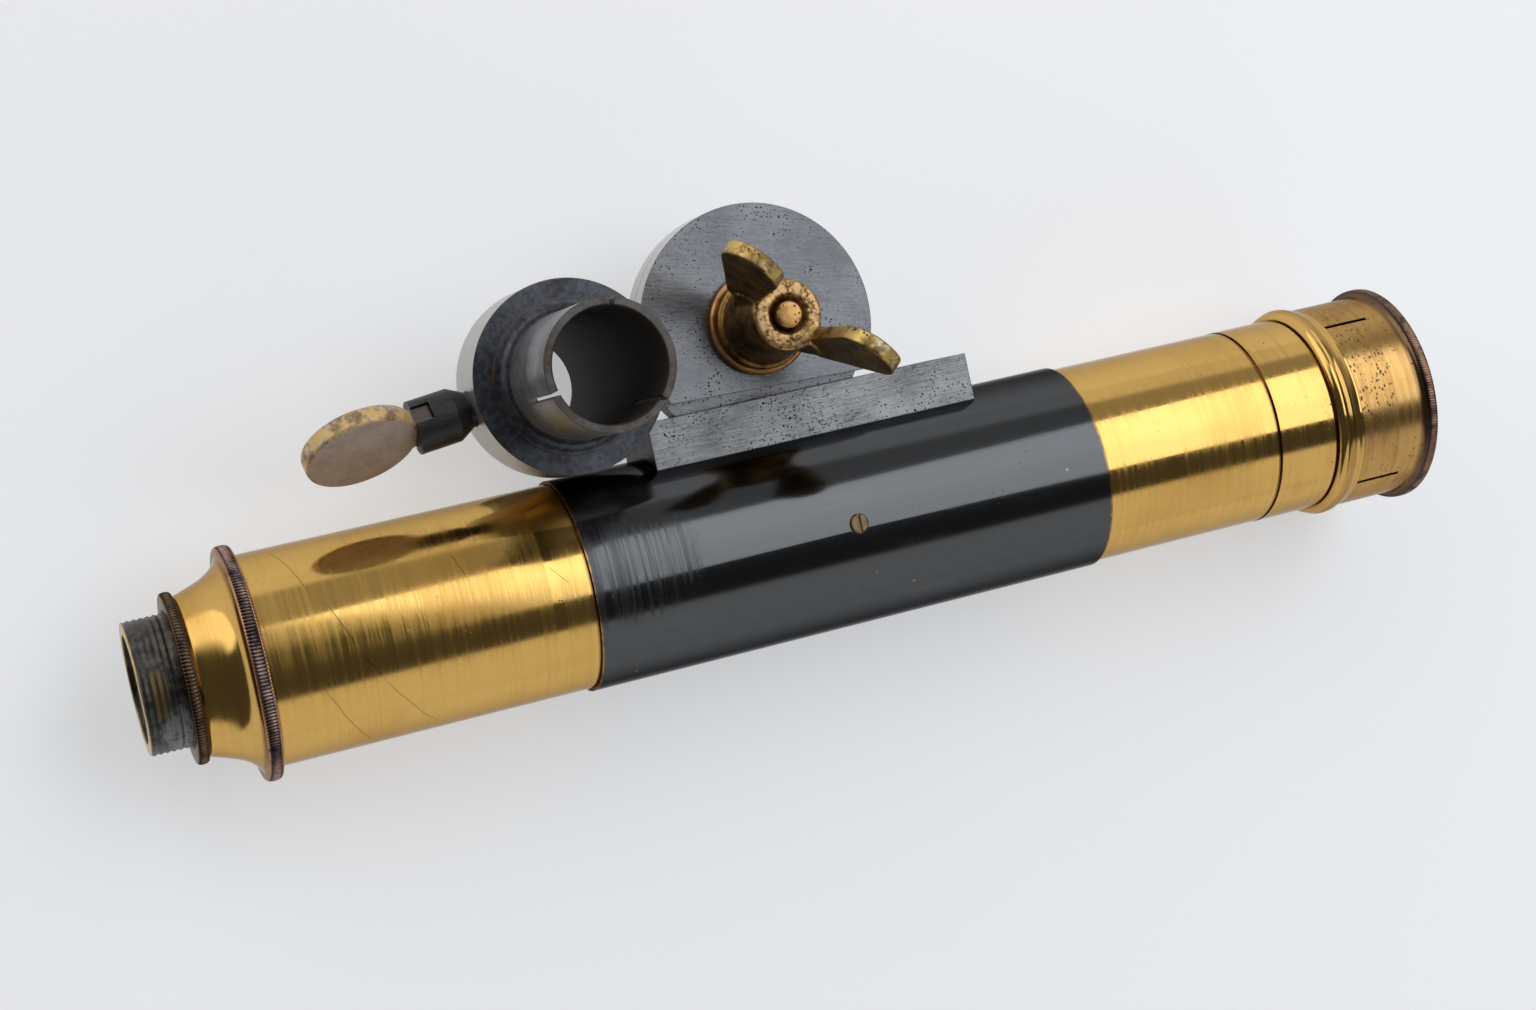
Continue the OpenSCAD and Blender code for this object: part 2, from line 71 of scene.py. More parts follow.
# %% The thumb screw's axis
THUMB_Z = 11 * MM
THUMB_TURN = math.radians(186.2)
COIN_TWIST = math.radians(28.5)
COIN_AT_MM = 36.6
COIN_FLAT_MM = 9.55
QUARTER = math.pi / 2

THUMB_AXIS = (
    Matrix.Translation((0, 0, THUMB_Z)) @ Matrix.Rotation(THUMB_TURN, 4, "Z")
    @ Matrix.Rotation(QUARTER, 4, "Y") @ Matrix.Rotation(COIN_TWIST, 4, "Z")
    @ Matrix.Rotation(QUARTER, 4, "X"))
COIN_CENTRE = THUMB_AXIS @ Vector((0, COIN_AT_MM * MM, 0))
COIN_FACING = THUMB_AXIS.to_3x3() @ Vector((0, 0, 1))
print("coin centre", COIN_CENTRE, "facing", COIN_FACING)

# %% [markdown]
# The photograph was taken from high above the left end. The camera's place and turn were
# found by fitting the tube's edges and the round faces, and they are written here as they
# came out. A camera could be pointed by hand, but then nothing would line up. Depth of field
# stays off.

# %% Camera
CAMERA_AT = Vector((-109.6 * MM, -7.5 * MM, 451.7 * MM))
CAMERA_RIGHT = Vector((0.927, -0.214, 0.307))
CAMERA_AHEAD = Vector((0.305, -0.047, -0.951))
LENS_MM = 61.6
SENSOR_MM = 36.0

back = -CAMERA_AHEAD.normalized()
right = (CAMERA_RIGHT - CAMERA_RIGHT.dot(back) * back).normalized()
up = back.cross(right)
turn = Matrix((right, up, back)).transposed()
camera_data = bpy.data.cameras.new("Camera")
camera_data.lens = LENS_MM
camera_data.sensor_width = SENSOR_MM
camera_data.sensor_fit = "HORIZONTAL"
camera_data.clip_start = 0.01
camera = bpy.data.objects.new("Camera", camera_data)
camera.matrix_world = Matrix.Translation(CAMERA_AT) @ turn.to_4x4()
bpy.context.scene.collection.objects.link(camera)
bpy.context.scene.camera = camera
print("camera at", CAMERA_AT)

# %% [markdown]
# Every finish here is a node tree. A tree that is written node by node is hard to read, and
# a sum is easy. A Flow is one output of a node tree, and adding or multiplying Flows adds
# Math nodes. Every other node comes from Sheet.node, which takes the node's kind, its
# settings and what goes into its sockets. The same two classes draw the finishes and the
# Geometry Nodes further down.

# %% Shader maths in plain sums
class Flow:
    """One output socket of a node tree."""

    def __init__(self, sheet, socket):
        self.sheet = sheet
        self.socket = socket

    def maths(self, operation, *values):
        return self.sheet.node("Math", {"operation": operation}, dict(enumerate(values)))

    def __add__(self, other):
        return self.maths("ADD", self, other)

    def __sub__(self, other):
        return self.maths("SUBTRACT", self, other)

    def __rsub__(self, other):
        return self.maths("SUBTRACT", other, self)

    def __mul__(self, other):
        return self.maths("MULTIPLY", self, other)

    def __truediv__(self, other):
        return self.maths("DIVIDE", self, other)

    def size(self):
        return self.maths("ABSOLUTE", self)

    def root(self):
        return self.maths("SQRT", self)

    def fraction(self):
        return self.maths("FRACT", self)

    def angle_from(self, other):
        return self.maths("ARCTAN2", self, other)

    def larger(self, other):
        return self.maths("MAXIMUM", self, other)

    def smaller(self, other):
        return self.maths("MINIMUM", self, other)

    def rise(self, low, high):
        """0 up to low, 1 from high on, and a smooth slope between them."""
        return self.sheet.node(
            "MapRange", {"interpolation_type": "SMOOTHSTEP"},
            {"Value": self, "From Min": low, "From Max": high})


class Sheet:
    """A node tree that is drawn from scratch."""

    def __init__(self, tree):
        self.tree = tree
        self.tree.nodes.clear()

    def node(self, kind, settings=(), values=(), output=0):
        made = self.tree.nodes.new(kind if "Node" in kind else "ShaderNode" + kind)
        for name, value in dict(settings).items():
            setattr(made, name, value)
        for name, value in dict(values).items():
            if isinstance(value, Flow):
                self.tree.links.new(value.socket, made.inputs[name])
            else:
                made.inputs[name].default_value = value
        return Flow(self, made.outputs[output]) if made.outputs else None


print("sums are ready")

# %% [markdown]
# Wear sits at places: at a tube's end, round it, near an axis. Each piece could be unwrapped
# and painted, but all the pieces share one origin, so a finish can measure where it is
# instead. A Place is a Sheet that knows the place on the object and measures it.

# %% Where a finish is
class Place(Sheet):
    """The node tree of a new material, or of another owner such as a world."""

    def __init__(self, name, owner=None, given_as="Object"):
        self.owner = owner or bpy.data.materials.new(name)
        self.owner.use_nodes = True
        super().__init__(self.owner.node_tree)
        self.here = self.node("TexCoord", output=given_as)

    def vector_maths(self, operation, first, second=None, output="Vector"):
        values = {0: first} if second is None else {0: first, 1: second}
        return self.node("VectorMath", {"operation": operation}, values, output)

    def part(self, axis, vector=None):
        """One coordinate of a vector, by default of the place on the object."""
        return self.node("SeparateXYZ", (), {0: vector or self.here}, "XYZ".index(axis))

    def facing(self, axis):
        """1 on faces that look along an axis, -1 on those that look the other way."""
        return self.part(axis, self.node("NewGeometry", output="Normal"))

    def round_tube(self):
        """The angle round the tube in radians, from the top towards the front."""
        return (TUBE_Y - self.part("Y")).angle_from(self.part("Z"))

    def off_axis(self, centre, axis="X"):
        """The distance from a straight line along an axis, through a centre."""
        place = self.vector_maths("SUBTRACT", self.here, centre)
        flat = tuple(0.0 if name == axis else 1.0 for name in "XYZ")
        flat = self.vector_maths("MULTIPLY", place, flat)
        return self.vector_maths("LENGTH", flat, output="Value")

    def off_centre(self, centre, direction):
        """How far a place lies along a direction from a centre, and how far off that line."""
        place = self.vector_maths("SUBTRACT", self.here, tuple(centre))
        along = self.vector_maths("DOT_PRODUCT", place, tuple(direction), "Value")
        reach = self.vector_maths("LENGTH", place, output="Value")
        return along.size(), (reach * reach - along * along).root()

    def stretched(self, scale, turn=(0, 0, 0)):
        """The place on the object, turned and then stretched by a scale for each axis."""
        turned = self.node("Mapping", (), {"Vector": self.here, "Rotation": turn})
        return self.node("Mapping", (), {"Vector": turned, "Scale": scale})


print("the skin of a tube is", TUBE_R_MM, "mm from its axis")

# %% [markdown]
# A Finish adds what every worn metal needs: clouds, dots and blends, patches and scratches at
# chosen places, and the edges that have been rubbed. A bevel node finds those edges without
# any new shape.

# %% What a finish can draw
SCRATCH_MM = 0.14


class Finish(Place):
    """A Place with the marks of wear."""

    def cloud(self, vector, scale, detail, rough=0.5):
        return self.node(
            "TexNoise", (),
            {"Vector": vector, "Scale": scale, "Detail": detail, "Roughness": rough})

    def dots(self, vector, scale=1):
        """The distance to the nearest of many scattered points, so it is 0 on each point."""
        return self.node("TexVoronoi", (), {"Vector": vector, "Scale": scale})

    def blend(self, share, first, second):
        return self.node(
            "Mix", {"data_type": "RGBA"}, {0: share, 6: first, 7: second}, 2)

    def patch(self, along, turn, length, width, ragged):
        """1 inside an oval on the tube's skin, at a station in mm and an angle in degrees."""
        near = (self.part("X") - along * MM) * (1 / (length * MM))
        off = (self.round_tube() - math.radians(turn)) * (1 / math.radians(width))
        edge = (self.cloud(self.here, 900, 4, 0.7) - 0.5) * (2 * ragged)
        return 1 - (near * near + off * off + edge).rise(0.6, 1.1)

    def scratch(self, start, end):
        """1 on a fine line on the tube between two places, each a station and an angle."""
        run = end[0] - start[0]
        drop = math.radians(end[1] - start[1]) * TUBE_R_MM
        length = math.hypot(run, drop)
        along = self.part("X") * (1 / MM) - start[0]
        down = (self.round_tube() - math.radians(start[1])) * TUBE_R_MM
        reach = (along * run + down * drop) * (1 / length ** 2)
        waver = self.cloud(self.here, 260, 2) * 0.5 - 0.25
        off = (along * drop - down * run) * (1 / length) + waver
        ends = reach.rise(0, 0.2) * (1 - reach).rise(0, 0.2)
        return (1 - off.size().rise(0.3 * SCRATCH_MM, SCRATCH_MM)) * ends

    def rounded(self, radius):
        """The normal as it would be if edges were rounded to a radius."""
        return self.node("Bevel", {"samples": 4}, {"Radius": radius})

    def worn_edge(self, radius, high=0.12):
        """1 on an edge that stands out, 0 on the flat, from a rounded and a true normal."""
        true = self.node("NewGeometry", output="Normal")
        same = self.vector_maths("DOT_PRODUCT", self.rounded(radius), true, "Value")
        return (1 - same).rise(0.01, high)

    def bumped(self, height, depth, strength, edge=None):
        values = {"Height": height, "Distance": depth, "Strength": strength}
        if edge:
            values["Normal"] = self.rounded(edge)
        return self.node("Bump", (), values)

    def done(self, **sockets):
        """Puts the values and links into a Principled shader and returns the material."""
        named = {key.replace("_", " "): value for key, value in sockets.items()}
        shader = self.node("BsdfPrincipled", (), named)
        self.node("OutputMaterial", (), {"Surface": shader})
        return self.owner


def paint(red, green, blue):
    """A colour as it shows on a screen, 0 to 255, turned into the light that shaders use."""
    shown = [value / 255 for value in (red, green, blue)]
    light = [v / 12.92 if v <= 0.04045 else ((v + 0.055) / 1.055) ** 2.4 for v in shown]
    return (*light, 1)


print("pale paper is", [round(v, 3) for v in paint(236, 237, 240)])

# %% [markdown]
# The photograph's light can be read off the brass, which mirrors the room. A bright panel
# stands low behind to the left, white paper in front and low behind, and the ceiling is grey
# at the back and dark elsewhere. Each of them could be a lamp, but the world can show them
# all by the direction that is looked at, and it mirrors as cleanly.

# %% The room as the brass mirrors it
PAPER = 0.80
PANEL = 1.60
CEILING_FRONT = 0.07
CEILING_BACK = 0.36
COOL_WHITE = (0.98, 0.99, 1, 1)

world = bpy.data.worlds.new("Studio")
room = Finish("studio", world, "Generated")
to_right, to_back, to_top = (room.part(axis) for axis in "XYZ")
behind = to_back.rise(0.05, 0.35) * (to_right + to_back * 0.3).rise(-0.1, 0.2)
strength = behind * (CEILING_BACK - CEILING_FRONT) + CEILING_FRONT
paper_front = (to_right * 0.29 - to_back).rise(0.70, 0.77)
paper_back = to_back.rise(0.2, 0.5) * (1 - to_top.rise(0.22, 0.32))
strength = strength + paper_front.larger(paper_back) * (PAPER - strength)
panel = to_back.rise(0.22, 0.34) * (1 - to_right.rise(-0.06, 0.12))
panel = panel * (1 - (to_top - to_right * 0.2).rise(0.62, 0.86))
strength = strength + panel * (PANEL - strength)
glow = room.node("Background", (), {"Color": COOL_WHITE, "Strength": strength})
room.node("OutputWorld", (), {"Surface": glow})
bpy.context.scene.world = world
bpy.context.scene.view_settings.view_transform = "Standard"
print("world nodes", len(world.node_tree.nodes))

# %% [markdown]
# A large soft box hangs above, behind and to the right. It is a lamp and not a part of the
# world, because it has to cast the main shadow. An area light is the kind that softens a
# shadow by its size.

# %% Soft box
BOX_AT = Vector((0.61, 0.25, 1.0))
BOX_BACK = Vector((0.62, 0.32, 0.84)).normalized()
BOX_SIZE = (0.98, 1.14)
BOX_POWER = 6.9

lamp = bpy.data.lights.new("Soft_box", "AREA")
lamp.shape = "RECTANGLE"
lamp.size, lamp.size_y = BOX_SIZE
lamp.energy = BOX_POWER
lamp.color = (0.97, 1, 1.05)
across = Vector((0, 1, 0)).cross(BOX_BACK).normalized()
turn = Matrix((across, BOX_BACK.cross(across), BOX_BACK)).transposed()
soft_box = bpy.data.objects.new("Soft_box", lamp)
soft_box.matrix_world = Matrix.Translation(BOX_AT) @ turn.to_4x4()
bpy.context.scene.collection.objects.link(soft_box)
print("soft box of", BOX_POWER, "W at", BOX_AT)

# %% [markdown]
# The table is pale paper. It glows a little by itself, as paper does in a light tent, where
# light comes through it from all sides and softens the shadows. Lamps from below could do
# that too, but a little emission needs none.

# %% The table
TABLE_HALF = 2.5

paper = Finish("table_paper")
grain = paper.cloud(paper.here, 900, 4, 0.6)
table_look = paper.done(
    Base_Color=paint(200, 201, 203), Roughness=0.8, Specular_IOR_Level=0.2,
    Emission_Color=COOL_WHITE, Emission_Strength=0.45,
    Normal=paper.bumped(grain, 0.0002, 0.15))
table_mesh = bpy.data.meshes.new("Table")
bm = bmesh.new()
bmesh.ops.create_grid(bm, x_segments=1, y_segments=1, size=TABLE_HALF)
bm.to_mesh(table_mesh)
bm.free()
table = bpy.data.objects.new("Table", table_mesh)
table.location.z = FLOOR_Z
table_mesh.materials.append(table_look)
bpy.context.scene.collection.objects.link(table)
print("table at", round(FLOOR_Z, 4))

# %% [markdown]
# The tubes are lacquered brass. Real ones were polished in a lathe, so fine marks run round
# them, and a clear lacquer lies on top. The marks come from a noise that is squeezed along
# the tube, which costs nothing and never repeats, and the lacquer from the shader's coat.
# Tarnish clouds, dark pits and a few slanting scratches follow. Where one tube enters
# another, polish and dirt have left a brown ring.

# %% How lacquered brass is made
def brass_pits(f, amount, crowded=None):
    """1 in small pits that gather in patches, with many more in a crowded patch."""
    holes = 1 - f.dots(f.here, 900).rise(0.10, 0.24)
    where = f.cloud(f.here, 130, 3, 0.7).rise(0.66 - 0.2 * amount, 0.78 - 0.16 * amount)
    if not crowded:
        return holes * where
    many = 1 - f.dots(f.stretched((1500, 1000, 1000))).rise(0.22, 0.42)
    crowd = f.patch(*crowded, 0.9) * f.cloud(f.here, 620, 4, 0.7).rise(0.44, 0.52)
    return (holes * where).larger(many * crowd)


def tube_brass(name, gold, dull, roughness, pits, coat, scratches=(), joints=(),
               stain=paint(96, 58, 30), crowded=None, inside=None):
    """Brass with lathe marks and pits.

    Each scratch is (start, end), each joint a stained ring (station, width, depth), crowded is
    a patch full of pits, and inside is the radius below which the metal gets painted shade."""
    f = Finish(name)
    rings = f.cloud(f.stretched((1500, 24, 24)), 1, 5, 0.75)
    share = (rings * 0.35 + f.cloud(f.here, 55, 4, 0.6) * 0.65).rise(0.42, 0.66)
    pit = brass_pits(f, pits, crowded)
    colour = f.blend(share, gold, dull)
    colour = f.blend(pit * 0.85, colour, paint(58, 38, 18))
    for start, end in scratches:
        colour = f.blend(f.scratch(start, end) * 0.5, colour, paint(70, 48, 22))
    for station, width, depth in joints:
        off = (f.part("X") - station * MM).size()
        near = 1 - off.rise(0.2 * width * MM, width * MM)
        colour = f.blend(near * depth, colour, stain)
    # Below the inside radius, slot walls and bore are darkened as painted shade.
    if inside:
        inner_shade = 1 - f.off_axis((0, TUBE_Y, 0)).rise(inside - 0.1 * MM, inside)
        colour = f.blend(inner_shade * 0.85, colour, paint(40, 30, 22))
    streaks = rings.rise(0.38, 0.62) * 0.09 - 0.035
    return f.done(
        Base_Color=colour, Metallic=1.0, Roughness=streaks + share * 0.04 + pit * 0.3 + roughness,
        Specular_Tint=(0.56, 0.5, 0.42, 1), Coat_Weight=coat, Coat_Roughness=0.08,
        Normal=f.bumped(rings * 0.5 - pit * 3, 0.000006, 0.5, 0.00008))


print("scratches are", SCRATCH_MM, "mm wide on each side")

# %% [markdown]
# Four brasses come from that one function. The scratches are the long ones that catch the
# eye, given by where they start and end, so they sit where the real ones do. A noise alone
# would scatter them anywhere.

# %% The four tubes
GOLD = paint(214, 171, 92)
DULL_GOLD = paint(202, 157, 80)
SCRATCHES = (
    ((-55.0, -78), (-50.4, -30)), ((-48.6, -26), (-45.3, 2)), ((-44.7, 6), (-42.0, 20)),
    ((-42.2, 20), (-32.4, 68)), ((-52.4, 16), (-43.9, 73)), ((-26.4, -38), (-24.6, -20)),
    ((-11.0, -17), (-7.9, -4)))

draw_brass = tube_brass(
    "draw_tube_brass", GOLD, DULL_GOLD, roughness=0.14, pits=0.35, coat=0.3,
    scratches=SCRATCHES, joints=[(-4.2, 0.7, 0.75), (-60.2, 0.6, 0.75), (-62.8, 0.5, 0.6)])
fixed_brass = tube_brass(
    "fixed_tube_brass", GOLD, DULL_GOLD, roughness=0.11, pits=0.25, coat=0.35,
    joints=[(93.8, 0.6, 0.75), (129.3, 0.5, 0.75)])
ring_brass = tube_brass(
    "moulded_ring_brass", GOLD, paint(190, 142, 76), roughness=0.11, pits=0.55, coat=0.35,
    joints=[(129.5, 0.45, 0.8), (141.5, 0.4, 0.8), (144.1, 1.3, 0.4)])
# The slotted sleeve's slot walls and bore get painted shade.
sleeve_brass = tube_brass(
    "slotted_sleeve_brass", paint(190, 150, 88), paint(150, 110, 66), roughness=0.25,
    pits=1.25, coat=0.15, joints=[(160.4, 1.5, 0.75)], stain=paint(70, 54, 52),
    crowded=(150.2, -16, 5.0, 36), inside=19.0 * MM)
print("scratches on the draw tube", len(SCRATCHES))

# %% [markdown]
# The jacket is black lacquer on brass, handled for many years. It is glossy, with rubbed
# rings, scuffs and fine dust, and the brass shows at its two end edges. Black plastic would
# be the usual shader for it. But a thick old lacquer mirrors less at its rim than plastic
# does, so it is drawn as a dark metal whose Specular Tint keeps the rim down.

# %% Black lacquer
def black_lacquer(name):
    f = Finish(name)
    scuff = f.cloud(f.stretched((60, 260, 260)), 1, 5, 0.65).rise(0.52, 0.8)
    rings = f.cloud(f.stretched((1300, 30, 30)), 1, 4, 0.7).rise(0.42, 0.62)
    rubbed = f.patch(2, -6, 15, 32, 0.6) * rings
    dust = (1 - f.dots(f.here, 900).rise(0.06, 0.16)) * f.cloud(f.here, 140, 3).rise(0.5, 0.66)
    chips = (1 - f.dots(f.here, 260).rise(0.05, 0.12)) * f.cloud(f.here, 90, 3).rise(0.52, 0.6)
    colour = f.blend(scuff * 0.4, paint(83, 84, 85), paint(99, 100, 102))
    colour = f.blend(rubbed * 0.35, colour, paint(58, 59, 60))
    colour = f.blend(dust * 0.7, colour, paint(28, 27, 26))
    colour = f.blend(chips * 0.8, colour, paint(146, 128, 100))
    left, right = ((f.part("X") - end).size() for end in (TUBE_START, JACKET_END))
    ragged = (f.cloud(f.here, 700, 3) * (0.5 * MM)).rise(0.14 * MM, 0.3 * MM)
    bare = (1 - left.smaller(right).rise(0.1 * MM, 0.42 * MM)) * ragged
    colour = f.blend(bare, colour, paint(168, 122, 72))
    wave = f.cloud(f.here, 90, 2)
    return f.done(
        Base_Color=colour, Metallic=1.0, Specular_Tint=(0.34, 0.34, 0.34, 1),
        Roughness=scuff * 0.08 + rubbed * 0.16 + dust * 0.2 + 0.13,
        Normal=f.bumped(wave + rings * 0.03 - dust * 0.3, 0.00015, 0.12, 0.0001))


jacket_look = black_lacquer("jacket_lacquer")
print("lacquer nodes", len(jacket_look.node_tree.nodes))

# %% [markdown]
# The clamp and the discs are blued and blackened iron: a blue-grey skin with fine file and
# emery marks, dark pits, and brown rust where the edges have worn. The irons differ mostly in
# colour and in the way that the file went. So one function draws them all, and what only one
# or two of them have is a small function of its own.

# %% What iron can have
MOUTH_Z = 45.2 * MM


def iron_pits(f, amount):
    """1 in fine and coarse pits that gather in patches."""
    fine = 1 - f.dots(f.here, 1500).rise(0.12, 0.3)
    big = 1 - f.dots(f.here, 520).rise(0.06, 0.16)
    patch = f.cloud(f.here, 170, 4, 0.7)
    spread = patch.rise(0.60 - 0.14 * amount, 0.74 - 0.1 * amount)
    return (fine * spread).larger(big * patch.rise(0.5, 0.6) * amount)


def steel_side(f, colour, pit):
    """Upright faces from the collar's radius on are bare steel. Gives the mask as well."""
    side = 1 - f.facing("Z").size().rise(0.3, 0.7)
    side = side * f.off_axis((0, 0, 0), "Z").rise(COLLAR_R - 0.3 * MM, COLLAR_R)
    stain = f.cloud(f.stretched((260, 260, 900)), 1, 4, 0.6).rise(0.56, 0.74) * 0.5
    steel = f.blend(stain + pit * 0.5, paint(172, 169, 164), paint(98, 92, 84))
    return f.blend(side, colour, steel), side


def bore_shade_and_mouth(f, colour, radius):
    """The bore is darkened as painted shade, and the mouth's end face is brown. Gives the bore's
    mask as well.
    """
    inside = 1 - f.off_axis((0, 0, 0), "Z").rise(radius - 0.1 * MM, radius + 0.1 * MM)
    mouth = f.part("Z").rise(MOUTH_Z, MOUTH_Z + 0.15 * MM) * (1 - inside)
    # Painted shade in the bore; the mouth's end face gets its own brown.
    colour = f.blend(inside * 0.94, colour, paint(62, 53, 45))
    return f.blend(mouth * 0.75, colour, paint(62, 55, 48)), inside


def ragged_specks(f, colour, amount):
    """Torn dark marks that run with the file, in patches."""
    torn = f.cloud(f.stretched((1300, 2600, 2600)), 1, 4, 0.7).rise(0.55, 0.60)
    torn = torn * f.cloud(f.here, 150, 3).rise(0.36, 0.56)
    return f.blend(torn * amount, colour, paint(26, 25, 25))


print("the sleeve's mouth is at", round(MOUTH_Z, 4))

# %% [markdown]
# Now the function that lays them over each other, from the skin up: the skin's clouds, pits,
# rubs and specks, steel on the sides, rust on the edges, and last painted shade in the bore, the
# mouth's brown end face, and painted shade on the faces that look along -X. A later mark covers
# an earlier one, as on the real metal.

# %% Blackened iron and steel
def iron(name, skin, deep, grain_scale, grain_turn=0, roughness=0.30, pits=0.5,
         edge=(86, 62, 46), edge_width=0.4 * MM, edge_share=0.8, metal=0.75, bright=0.0,
         specks=0.0, steel_sides=False, bore=None, painted_shade_end=False):
    """Iron whose file marks run as grain_scale and grain_turn say.

    Bright is a share of rubbed steel, specks a share of dark marks, bore the radius of a bore
    that gets painted shade, and the last flag paints shade on the faces that look along -X."""
    f = Finish(name)
    grain_turn = (0, 0, grain_turn)
    grain = f.cloud(f.stretched(grain_scale, grain_turn), 1, 4, 0.65)
    clouds = f.cloud(f.here, 85, 5, 0.65)
    pit = iron_pits(f, pits)
    gloss = grain * 0.2 + pit * 0.25 + roughness
    colour = f.blend((grain * 0.5 + clouds * 0.5).rise(0.36, 0.64), deep, skin)
    colour = f.blend(pit * 0.9, colour, paint(22, 20, 20))
    if bright:
        rub = f.cloud(f.stretched(grain_scale, grain_turn), 1.7, 3, 0.6).rise(0.52, 0.7)
        colour = f.blend(rub * bright, colour, paint(158, 161, 164))
    if specks:
        colour = ragged_specks(f, colour, specks)
    if steel_sides:
        colour, side = steel_side(f, colour, pit)
        gloss = gloss - side * 0.08
    rust = f.worn_edge(edge_width) * f.cloud(f.here, 420, 4, 0.7).rise(0.38, 0.56)
    colour = f.blend(rust * edge_share, colour, paint(*edge))
    if bore:
        colour, inside = bore_shade_and_mouth(f, colour, bore)
        gloss = gloss + inside * 0.3
    if painted_shade_end:
        # Faces that look along -X, away from the soft box, are darkened as painted shade.
        left = (0 - f.facing("X")).rise(0.5, 0.8)
        colour = f.blend(left * 0.9, colour, paint(34, 33, 33))
    return f.done(
        Base_Color=colour, Metallic=metal, Roughness=gloss,
        Normal=f.bumped(grain * 0.5 - pit * 2, 0.00004, 0.5, 0.00025))


disc_look = iron(
    "disc_blued_iron", paint(118, 119, 121), paint(92, 93, 97), (300, 3000, 300), 0.25,
    roughness=0.16, pits=1.0, edge=(96, 70, 50), steel_sides=True, specks=0.35)
collar_look = iron(
    "collar_blackened_iron", paint(84, 87, 92), paint(46, 47, 52), (900, 900, 900),
    pits=0.6, edge=(120, 88, 56), edge_share=0.7, steel_sides=True)
# The sleeve's bore is darkened as painted shade.
sleeve_look = iron(
    "sleeve_browned_steel", paint(152, 153, 155), paint(70, 68, 67), (500, 500, 3600),
    pits=0.35, edge=(128, 100, 66), edge_width=0.5 * MM, bore=9.85 * MM)
# The bar's end face that looks along -X is darkened as painted shade.
bar_look = iron(
    "bar_worn_steel", paint(160, 161, 162), paint(102, 103, 104), (160, 5200, 3000),
    roughness=0.34, pits=1.5, edge=(96, 84, 72), edge_share=0.5, metal=0.8, bright=0.4,
    specks=0.7, painted_shade_end=True)
shank_look = iron(
    "shank_browned_steel", paint(66, 65, 66), paint(38, 37, 37), (260, 3000, 3000), 0.1,
    roughness=0.36, pits=0.4, edge=(96, 84, 74), edge_width=0.5 * MM, edge_share=0.6)
print("the bar's nodes", len(bar_look.node_tree.nodes))

# %% [markdown]
# The wing nut, its washer, the stud and the thumb screw's head are plain brass that nobody
# lacquered. Their hollows have gone brown, and fingers keep their edges bright; silver-grey
# spots on those bright edges are painted glints. The bevel node finds such edges on a solid.
# Where a bright band has to be wider than an edge, as on the ears and the coin's rim, it is
# measured from the piece's own axis instead.

# %% Marks that only one old piece has
HUB_TOP = 25 * MM
EAR_BAND_FROM = 24.5 * MM
EAR_ACROSS = (-math.sin(EAR_TURN), math.cos(EAR_TURN), 0)


def hub_top(f, colour, bright, brown):
    """The wing nut's flat top is clean and mottled."""
    near = 1 - f.off_axis(tuple(PIVOT), "Z").rise(6.2 * MM, 7.0 * MM)
    near = near * f.part("Z").rise(HUB_TOP, HUB_TOP + 0.3 * MM) * f.facing("Z").rise(0.4, 0.8)
    spots = f.cloud(f.here, 900, 4, 0.7).rise(0.42, 0.62)
    return f.blend(near * 0.9, colour, f.blend(spots, paint(196, 158, 110), brown))


def ear_bands(f, colour, bright, brown):
    """The narrow sides of the ears are worn bright."""
    aside, _ = f.off_centre(PIVOT, EAR_ACROSS)
    near = 1 - aside.rise(1.0 * MM, 1.3 * MM)
    near = near * f.part("Z").rise(EAR_BAND_FROM, EAR_BAND_FROM + MM)
    return f.blend(near * 0.85, colour, bright)


def coin_rim(f, colour, bright, brown):
    """The coin's rim is worn bright, and its tang is dark."""
    flat = COIN_FLAT_MM * MM
    _, reach = f.off_centre(COIN_CENTRE, COIN_FACING)
    near = reach.rise(flat - 0.15 * MM, flat + 0.15 * MM)
    beyond = reach.rise(flat + 0.5 * MM, flat + 0.7 * MM)
    colour = f.blend(near * (1 - beyond) * 0.9, colour, bright)
    return f.blend(beyond * 0.9, colour, paint(66, 56, 48))


print("the ears' thickness runs along", [round(v, 2) for v in EAR_ACROSS])

# %% [markdown]
# The marks are handed to the finish as functions, so the finish itself needs to know nothing
# about ears or coins.

# %% Old brass
def old_brass(name, worn, brown, edge_width=0.8 * MM, keep=(0.36, 0.6), pits=0.6, rough=0.32,
              edge=paint(214, 172, 100), spots=None, metal=0.95, marks=()):
    """Brown brass with bright edges. Keep says how much of it shows the worn colour, and
    spots is the colour of the dark spots in the bright marks."""
    f = Finish(name)
    clouds = f.cloud(f.here, 240, 5, 0.7)
    # Silver-grey spots in the bright marks are painted glints.
    glint_spots = f.cloud(f.here, 380, 4, 0.7).rise(0.52, 0.60) * 0.8
    bright = f.blend(glint_spots, edge, paint(196, 190, 176))
    dull = f.cloud(f.here, 300, 4, 0.7).rise(0.42, 0.6) * 0.85
    bright = f.blend(dull, bright, spots or brown)
    colour = f.blend(clouds.rise(*keep), brown, worn)
    for mark in marks:
        colour = mark(f, colour, bright, brown)
    rubbed = f.worn_edge(edge_width, 0.16) * f.cloud(f.here, 500, 3).rise(0.3, 0.5)
    # Edges rubbed bright by wear, with silver-grey painted glints in them.
    colour = f.blend(rubbed * 0.95, colour, f.blend(glint_spots, edge, paint(216, 208, 190)))
    where = f.cloud(f.here, 260, 3, 0.7).rise(0.66 - 0.2 * pits, 0.8 - 0.2 * pits)
    pit = (1 - f.dots(f.here, 1100).rise(0.12, 0.3)) * where
    colour = f.blend(pit * 0.9, colour, paint(34, 24, 16))
    return f.done(
        Base_Color=colour, Metallic=metal, Roughness=clouds * 0.16 + pit * 0.3 + rough,
        Normal=f.bumped(clouds * 0.6 - pit * 1.5, 0.00006, 0.5, 0.0003))


